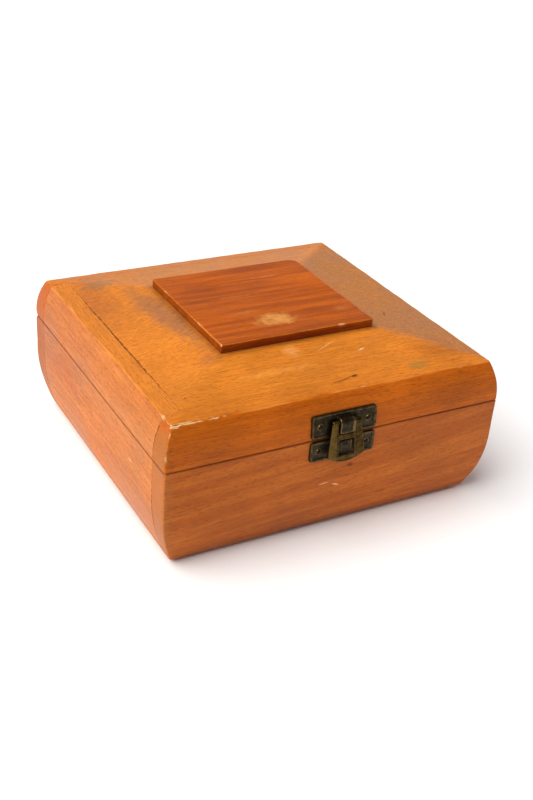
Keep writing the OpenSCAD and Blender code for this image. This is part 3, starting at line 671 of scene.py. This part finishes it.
def plaque_solid(p):
    """Distance outside the plaque, whose back right corner is cut off."""
    x, y = np.abs(p[:, 0]) - plaque_high.x, np.abs(p[:, 1]) - plaque_high.y
    back_corner = (p[:, 0] + p[:, 1] - plaque_high.x - plaque_high.y + PLAQUE_CUT) / math.sqrt(2)
    rub = np.clip(0.4 + 0.25 * lumps(p, 5, 7), 0.15, 0.8)
    sides = meet(meet(x, y, 0.5), back_corner, 1.2)
    solid = meet(meet(sides, p[:, 2] - plaque_high.z, rub), roof_z - p[:, 2], 0.15)
    return np.maximum(solid, -hollows(p, PLAQUE_CHIPS))


plaque, p = carved("lid_plaque", steps(plaque_low.x, plaque_high.x, 0.35, 1.6),
                   steps(plaque_low.y, plaque_high.y, 0.35, 1.6),
                   steps(plaque_low.z, plaque_high.z, 0.3, 0.6, 1.2), plaque_solid, lambda p: p)
edge = np.maximum(np.abs(p[:, 0]) - plaque_high.x, np.abs(p[:, 1]) - plaque_high.y)
paint(plaque, "wear_and_highlight", near_arris(edge, p[:, 2] - plaque_high.z, 1.5))
paint(plaque, "bare", 0.8 - (hollows(p, PLAQUE_CHIPS) - 0.05) / 0.2)
# Painted shade: dark at the foot of the sides where they meet the roof, and a lighter dark wash up the
# sides.
on_side = np.clip(1 + edge / 0.3, 0, 1) * (p[:, 2] < plaque_high.z - 0.5)
paint(plaque, "painted_shade", np.maximum(np.clip(1 - (p[:, 2] - roof_z) / 1.2, 0, 1), 0.35 * on_side))
fit(plaque, "lid_plaque", "lid", plaque_beech)


# ---------------------------------------------------------------------------------------------
# The latch plates. Two small plates pressed from brass sheet with a rounded raised border, one on
# the base and one on the lid. The lid's plate follows the curve of the shoulder. The brass has
# gone olive brown and is rubbed brighter on its raised border. The lower and side edges of the
# nub and the strap are given a painted highlight.
# ---------------------------------------------------------------------------------------------
def old_brass(name, deep, pale, bright, dull):
    """Brass with a dark olive patina, patchy and satin, rubbed brighter on its raised edges and lighter
    where a highlight is painted.
    """
    material, tree, shader, place = new_material(name)
    cloud = add(tree, "TexNoise", {"Vector": place, "Scale": 420.0, "Detail": 4.0,
                                   "Roughness": 0.6}).outputs["Fac"]
    speck = add(tree, "TexNoise", {"Vector": place, "Scale": 2600.0, "Detail": 1.0}).outputs["Fac"]
    patch = add(tree, "MapRange", {0: cloud, 1: 0.36, 2: 0.64}).outputs[0]
    colour = add(tree, "Mix", {0: patch, 6: linear(deep), 7: linear(pale)}, data_type="RGBA").outputs[2]
    wear_and_highlight = add(tree, "Attribute", attribute_name="wear_and_highlight").outputs["Fac"]
    ragged = add(tree, "Math", {0: wear_and_highlight, 1: cloud}, operation="ADD").outputs[0]
    rubbed_and_highlit = add(tree, "MapRange", {0: ragged, 1: 0.75, 2: 1.35, 3: 0.0, 4: 0.9}).outputs[0]
    colour = add(tree, "Mix", {0: rubbed_and_highlit, 6: colour, 7: linear(bright)}, data_type="RGBA").outputs[2]
    tree.links.new(colour, shader.inputs["Base Color"])
    shader.inputs["Metallic"].default_value = 1.0
    gloss = add(tree, "MapRange", {0: patch, 1: 0.0, 2: 1.0, 3: dull + 0.12, 4: dull}).outputs[0]
    gloss = add(tree, "Mix", {0: rubbed_and_highlit, 2: gloss, 3: dull - 0.1}, data_type="FLOAT").outputs[0]
    tree.links.new(gloss, shader.inputs["Roughness"])
    bump = add(tree, "Bump", {"Height": speck, "Distance": 0.02 * MM, "Strength": 0.7})
    waves = add(tree, "Bump", {"Height": cloud, "Distance": 0.12 * MM, "Strength": 0.6,
                               "Normal": bump.outputs[0]})
    tree.links.new(waves.outputs[0], shader.inputs["Normal"])
    return material


plate_brass = old_brass("patinated_brass_plate", "#2a2214", "#40382a", "#6e5836", 0.42)
PLATE_W, PLATE_T, BORDER_T, BORDER_W, PLATE_CORNER = 35.0, 0.8, 0.4, 1.4, 1.6
NAIL_X = 13.0                              # the nails stand this far to each side of the middle
SET_RING_R = 1.6                           # radius of the ring that the hammer's set has rubbed
LATCH_MESH = 0.3


def slab_distance(a, half_a, b, half_b, r):
    """Distance outside a flat rectangle with rounded corners."""
    u, v = np.abs(a) - half_a + r, np.abs(b) - half_b + r
    return np.hypot(np.maximum(u, 0), np.maximum(v, 0)) + np.minimum(np.maximum(u, v), 0) - r


def off_front(p):
    """Distance in front of the case's front face, which the plates follow."""
    return bowed(-p[:, 1], p[:, 2], half_d)


def pressed_plate(p, z, h):
    """Distance outside a pressed plate that lies on the front of the case."""
    off = off_front(p)
    edge = slab_distance(p[:, 0], PLATE_W / 2, p[:, 2] - z, h / 2, PLATE_CORNER)
    ridge = 1 - ((edge + BORDER_W / 2) / (BORDER_W / 2 + 0.15)) ** 2
    top = PLATE_T + BORDER_T * np.sqrt(np.clip(ridge, 0, 1)) + 0.04 * lumps(p, 4, 11)
    return meet(meet(off - top, edge, 0.3), -off, 0.05)


def plate(name, body, z, h, extra, low_end):
    """A pressed plate joined to the solid piece that is drawn by extra and ends at height low_end."""
    zs = np.arange(z - h / 2 - LATCH_MESH, z + h / 2 + 2 * LATCH_MESH, LATCH_MESH)
    xs = np.arange(-PLATE_W / 2 - LATCH_MESH, PLATE_W / 2 + 2 * LATCH_MESH, LATCH_MESH)
    ys = np.arange(-half_d - 4.6, -half_d + 1.3, LATCH_MESH)

    def distance(p):
        return np.minimum(pressed_plate(p, z, h), extra(p))

    piece, p = carved(name, xs, ys, zs, distance, None, 2)
    off = off_front(p)
    rubbed_and_highlit = np.clip((off - PLATE_T - 0.15) / 0.35, 0, 0.45) * (off < PLATE_T + 0.7)
    turned = np.abs(p[:, 0] + 0.5) > 3.1                # the side and lower edges of the nub and the strap get a painted highlight
    low_edge = np.clip(1.1 - (p[:, 2] - low_end) / 0.9, 0, 1)
    # Painted highlight: the lower edges and the sides of the nub and the strap are made bright.
    bright = np.maximum(low_edge, 0.8 * turned * (off > PLATE_T + 1.9))
    rubbed_and_highlit = np.maximum(rubbed_and_highlit, (off > PLATE_T + 1.2) * bright)
    ring = np.hypot(np.abs(p[:, 0]) - NAIL_X, p[:, 2] - z)
    paint(piece, "wear_and_highlight", np.maximum(rubbed_and_highlit, np.clip(1 - np.abs(ring - SET_RING_R) / 0.35, 0, 0.9)))
    fit(piece, name, body, plate_brass)


catch_h, hasp_plate_h = 10.7, 11.8
catch_z, hasp_z = parting - 0.5 - catch_h / 2, parting + 1 + hasp_plate_h / 2
pivot_y, pivot_z = -half_d - 2.3, parting + 8.6
BAR_R, STRAP_R, STRAP_W, STRAP_T, STRAP_LEN = 1.05, 1.95, 8.0, 0.85, 5.3
CROSSBAR_TOP, CROSSBAR_LOW = 6.05, 8.95
NUB_W, NUB_H, NUB_OUT, NUB_CORNER = 7.6, 7.1, 2.6, 2.4
nub_top = pivot_z - CROSSBAR_LOW - 0.6


def nub(p):
    """The nub that the hasp snaps over: square above, rounded below, with a bulging front."""
    x, z = p[:, 0], p[:, 2] - nub_top
    outline = slab_distance(x, NUB_W / 2, z + NUB_H - 20, 20, NUB_CORNER)
    outline = meet(outline, z, 0.3)
    off = off_front(p)
    return meet(meet(outline, off - PLATE_T - NUB_OUT, 0.75), PLATE_T / 2 - off, 0.05)


def strap(p):
    """The strap that is folded round the hasp's bar, hollow behind and open below."""
    x, y, s = p[:, 0], p[:, 1] - pivot_y, pivot_z - p[:, 2]
    around = np.hypot(y, s) - STRAP_R
    down = np.maximum(np.abs(y) - STRAP_R, -s)
    roof_part = np.maximum(np.maximum(-y, -s - STRAP_R), s)
    solid = np.minimum(np.minimum(around, down), roof_part)
    solid = meet(solid, np.abs(x) - STRAP_W / 2, 0.3)
    solid = meet(solid, s - STRAP_LEN, 0.25)
    hollow = np.maximum(np.abs(x) - STRAP_W / 2 + STRAP_T, STRAP_R + 0.4 - s)
    hollow = np.maximum(hollow, STRAP_T - STRAP_R - y)
    solid = np.maximum(np.maximum(solid, -hollow), BAR_R + 0.05 - np.hypot(y, s))
    return np.maximum(solid, -off_front(p) - 0.02)


plate("catch_plate", "base", catch_z, catch_h, nub, nub_top - NUB_H)
plate("hasp_plate", "lid", hasp_z, hasp_plate_h, strap, pivot_z - STRAP_LEN)


# ---------------------------------------------------------------------------------------------
# The hasp. An H cut from thicker brass sheet, with a round bar across its top that turns in the
# strap, a window that drops over the nub and a curled lip for the finger. Handling has kept it
# a warmer brown than the plates, and a highlight is painted down its left leg.
# ---------------------------------------------------------------------------------------------
HASP_T, TOP_W, LOW_W, WINDOW_W, LIP_H, LIP_BEND, TILT = 1.0, 15.3, 20.0, 8.6, 3.3, 12.0, 7.5
BEND_LINE = CROSSBAR_LOW + 8.1
hasp_brass = old_brass("patinated_brass_hasp", "#281d0b", "#3f2f13", "#665026", 0.42)


def hasp_solid(p):
    """Distance outside the hasp, hanging straight down from its bar at the origin."""
    x, y, s = p[:, 0], p[:, 1], -p[:, 2]
    half = TOP_W / 2 + (LOW_W - TOP_W) / 2 * np.clip((s + HASP_T / 2) / (BEND_LINE + HASP_T / 2), 0, 1)
    flat = meet(meet(np.abs(x) - half, -s - HASP_T / 2, 0.5), s - BEND_LINE - 0.3, 0.05)
    upper = slab_distance(x, WINDOW_W / 2, s - CROSSBAR_TOP + 20, 20, 0.35)
    lower = slab_distance(x, WINDOW_W / 2, s - (CROSSBAR_LOW + BEND_LINE) / 2,
                          (BEND_LINE - CROSSBAR_LOW) / 2, 0.6)
    flat = np.maximum(flat, -np.minimum(upper, lower))
    sheet = meet(flat, np.abs(y) - HASP_T / 2, 0.28)
    below = np.maximum(s - BEND_LINE, 0)
    lip_r = (LOW_W ** 2 / 4 + LIP_H ** 2) / (2 * LIP_H)
    rim = np.hypot(x, s - BEND_LINE + lip_r - LIP_H) - lip_r
    curl = y - math.tan(math.radians(LIP_BEND)) * below
    lip = meet(meet(rim, BEND_LINE - 0.4 - s, 0.1), np.abs(curl) - HASP_T / 2, 0.3)
    bar = meet(np.hypot(y, s) - BAR_R, np.abs(x) - TOP_W / 2, 0.25)
    return np.minimum(np.minimum(sheet, lip), bar)


HASP_MESH = 0.27
hasp, p = carved("hasp", np.arange(-10.6, 10.7, HASP_MESH), np.arange(-1.6, 2.2, HASP_MESH),
                 np.arange(-21, 1.7, HASP_MESH), hasp_solid, None, 2)
# Wear on the edges of the front face, and a painted highlight down the left leg.
paint(hasp, "wear_and_highlight", np.clip(0.15 + 0.6 * near_arris(hasp_solid(p * (1, 0, 1)), -p[:, 1] - HASP_T / 2, 0.8)
                            + 0.35 * (np.abs(p[:, 0] + 7.5) < 2.2), 0, 1))
tilt = math.radians(TILT)
p = np.stack([p[:, 0], p[:, 1] * math.cos(tilt) + p[:, 2] * math.sin(tilt) + pivot_y,
              p[:, 2] * math.cos(tilt) - p[:, 1] * math.sin(tilt) + pivot_z], 1)
hasp.data.vertices.foreach_set("co", (p * MM).ravel())
fit(hasp, "hasp", "hasp", hasp_brass)


# ---------------------------------------------------------------------------------------------
# The latch nails. Four brass nails with low domed heads, dark on top with a brighter ring where
# the hammer's set has marked them, two to a plate.
# ---------------------------------------------------------------------------------------------
NAIL_R, NAIL_LEN, TURNS = 0.6, 8.0, 24
NAIL_PROFILE = ((0.0, 0.66), (0.5, 0.63), (0.9, 0.55), (1.15, 0.42), (1.22, 0.26), (1.3, 0.16),
                (1.36, 0.10), (1.38, 0.0), (NAIL_R, 0.0), (NAIL_R, 0.9 - NAIL_LEN), (0.0, -NAIL_LEN))
nail_brass = old_brass("patinated_brass_nail", "#201c16", "#302a20", "#7a6434", 0.38)


def nails(name, body, z, lean):
    """Two turned nails whose heads sit on a plate; lean tips them back with the shoulder."""
    verts, faces, wear_and_highlight = [], [], []
    for x in (-NAIL_X, NAIL_X):
        first = len(verts)
        for r, h in NAIL_PROFILE:
            for k in range(TURNS):
                a = 2 * math.pi * k / TURNS
                out = h + PLATE_T + (half_d if lean == 0 else shoulder_r)
                place = Vector((r * math.cos(a), -out, r * math.sin(a)))
                if lean:
                    centre = Vector((0, shoulder_r - half_d, shoulder_z - z))
                    place = Matrix.Rotation(-lean, 3, "X") @ place + centre
                verts.append((place + Vector((x, 0, z))) * MM)
                wear_and_highlight.append(0.9 if 1.2 < r < 1.4 else 0.0)
        for i in range(len(NAIL_PROFILE) - 1):
            for k in range(TURNS):
                a, b = first + i * TURNS + k, first + i * TURNS + (k + 1) % TURNS
                faces.append((a, b, b + TURNS, a + TURNS))
    mesh = bpy.data.meshes.new(name + "_finished")
    mesh.from_pydata(verts, [], faces)
    piece = bpy.data.objects.new(name + "_finished", mesh)
    bpy.context.scene.collection.objects.link(piece)
    weld = piece.modifiers.new("weld", "WELD")
    weld.merge_threshold = 0.01 * MM
    mesh.shade_smooth()
    paint(piece, "wear_and_highlight", np.array(wear_and_highlight))
    fit(piece, name, body, nail_brass)


nails("catch_nails", "base", catch_z, 0)
nails("hasp_nails", "lid", hasp_z, math.asin((hasp_z - shoulder_z) / shoulder_r))


# ---------------------------------------------------------------------------------------------
# The hinges. Two pairs of small stamped brass leaves let into the rims at the back, each pair
# with a pin through its three knuckles and countersunk brass screws.
# ---------------------------------------------------------------------------------------------
hinge_brass = old_brass("tarnished_brass_hinge", "#6b5c36", "#917d4a", "#c8b27a", 0.38)
bright_brass = old_brass("dull_brass_screw", "#8a7542", "#a89258", "#d6c288", 0.34)
for side in ("left", "right"):
    dress(f"hinge_base_leaf_{side}", hinge_brass, 0.12)
    dress(f"hinge_lid_leaf_{side}", hinge_brass, 0.12)
    dress(f"hinge_pin_{side}", bright_brass, 0.12)
dress("hinge_base_screws", bright_brass, 0.06)
dress("hinge_lid_screws", bright_brass, 0.06)


# ---------------------------------------------------------------------------------------------
# The lining. Cards covered in burgundy velvet are glued to the walls; velvet is also glued over
# the bed board and over the row of ridges that keep the pens apart.
# ---------------------------------------------------------------------------------------------
def velvet_pile(name, colour, glow):
    """Cotton velvet: a deep colour, with a pale sheen where the pile is seen from the side and
    soft marks where it has been stroked the other way."""
    material, tree, shader, place = new_material(name)
    stroke = add(tree, "TexNoise", {"Vector": place, "Scale": 90.0, "Detail": 3.0}).outputs["Fac"]
    pile = add(tree, "TexNoise", {"Vector": place, "Scale": 2600.0, "Detail": 2.0}).outputs["Fac"]
    brushed = add(tree, "MapRange", {0: stroke, 1: 0.35, 2: 0.65},
                  interpolation_type="SMOOTHSTEP").outputs[0]
    dark = [0.72 * c for c in linear(colour)[:3]] + [1.0]
    tone = add(tree, "Mix", {0: brushed, 6: dark, 7: linear(colour)}, data_type="RGBA").outputs[2]
    shade = add(tree, "MapRange", {0: pile, 1: 0.25, 2: 0.75, 3: 0.7, 4: 1.25}).outputs[0]
    tone = add(tree, "VectorMath", {0: tone, "Scale": shade}, operation="SCALE").outputs[0]
    tree.links.new(tone, shader.inputs["Base Color"])
    shader.inputs["Roughness"].default_value = 0.95
    shader.inputs["Sheen Weight"].default_value = 0.55
    shader.inputs["Sheen Roughness"].default_value = 0.35
    shader.inputs["Sheen Tint"].default_value = linear(glow)
    bump = add(tree, "Bump", {"Height": pile, "Distance": 0.25 * MM, "Strength": 0.9})
    tree.links.new(bump.outputs[0], shader.inputs["Normal"])
    return material


velvet = velvet_pile("burgundy_cotton_velvet", "#6c1628", "#c4606c")


def velvet_piece(name, body, xs, ys, zs, distance):
    """A velvet-covered piece carved to shape; it stands for the CAD node of that name."""
    piece, _ = carved(name, xs, ys, zs, distance, lambda p: p)
    fit(piece, name, body, velvet)
    return piece


def soft_block(low, high, r, swell):
    """Distance outside a covered card or board, with edges rounded to r and faces that wander."""
    middle, half = (low + high) / 2, (high - low) / 2

    def distance(p):
        q = np.abs(p - middle) - half + swell
        sides = meet(meet(q[:, 0], q[:, 1], r), q[:, 2], r)
        return sides - swell * 0.9 * lumps(p, 14, 21)

    return distance


for name, frame_box in ((n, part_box(n)) for n in slots if "lining" in n):
    low, high = np.array(frame_box[0]) / MM, np.array(frame_box[1]) / MM
    spans = []
    for a, b in zip(low, high):
        spans.append(steps(a, b, 0.35, 2.5 if b - a > 30 else 0.9, 0.7 if b - a < 5 else 2.1))
    velvet_piece(name, name.split("_")[0], *spans, soft_block(low, high, 0.45, 0.08))

bed_low, bed_high = (np.array(v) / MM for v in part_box("bed_velvet"))
TUCK = (0.25, 0.25, 0)                     # the velvet is tucked against the linings
bed_low, bed_high = bed_low - TUCK, bed_high + TUCK
bed = velvet_piece("bed_velvet", "base", steps(bed_low[0], bed_high[0], 0.35, 2.5),
                   steps(bed_low[1], bed_high[1], 0.35, 2.5),
                   steps(bed_low[2], bed_high[2], 0.25, 0.5, 0.25),
                   soft_block(bed_low, bed_high, 0.3, 0.06))

CHANNELS, RIDGE_W = 7, 6.0
lined_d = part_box("base_lining_back")[0].y / MM
pitch_y = 2 * lined_d / CHANNELS


def ridges(name):
    """The ridges of one side of the bed, round on top, each in its own tight velvet cover."""
    low, high = (np.array(v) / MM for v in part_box(name))
    first = None
    for i in range(1, CHANNELS):
        y = i * pitch_y - lined_d
        def distance(p, y=y):
            across = p[:, 1] - y
            top = np.hypot(across, np.maximum(p[:, 2] - high[2] + RIDGE_W / 2, 0)) - RIDGE_W / 2
            ends = np.abs(p[:, 0] - (low[0] + high[0]) / 2) - (high[0] - low[0]) / 2
            skin = meet(meet(top, ends, 1.2), low[2] - p[:, 2], 0.4)
            return skin + 0.10 + 0.10 * lumps(p, 9, 30 + y)
        piece, _ = carved(name, steps(low[0], high[0], 0.5, 2.4), np.arange(y - 3, y + 3.1, 0.5),
                          steps(low[2], high[2], 0.5, 1.0), distance, lambda p: p)
        if first is None:
            first = piece
        else:
            with bpy.context.temp_override(active_object=first, selected_editable_objects=[first, piece]):
                bpy.ops.object.join()
    fit(first, name, "base", velvet)


ridges("pen_ridges_left")
ridges("pen_ridges_right")


# ---------------------------------------------------------------------------------------------
# The pad in the lid. A thin sheet of wadding on a card, covered in the same velvet drawn tight
# over its edges, so that it is fullest in the middle. It stops the pens from rattling.
# ---------------------------------------------------------------------------------------------
pad_low, pad_high = (np.array(v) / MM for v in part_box("lid_pad"))
pad_half = (pad_high - pad_low) / 2
PAD_CROWN = 1.7                            # how much fuller the pad is in its middle than at its edge


def pad_solid(p):
    """Distance outside the pad: flat against its card, crowned below, with a soft round edge."""
    side = meet(np.abs(p[:, 0]) - pad_half[0], np.abs(p[:, 1]) - pad_half[1], 2.0)
    crown = PAD_CROWN * (1 - np.exp(side / 14))
    puckers = 0.16 * lumps(p * (1, 1, 0), 6, 40) * np.exp(side / 9)
    under = pad_low[2] + 1.8 - crown + puckers + 0.12 * lumps(p * (1, 1, 0), 26, 41) - p[:, 2]
    return meet(meet(side, under, 1.5), p[:, 2] - pad_high[2], 0.4)


pad = velvet_piece("lid_pad", "lid", steps(pad_low[0], pad_high[0], 0.5, 2.5),
                   steps(pad_low[1], pad_high[1], 0.5, 2.5),
                   steps(pad_low[2], pad_high[2], 0.4, 0.6, 1.2), pad_solid)
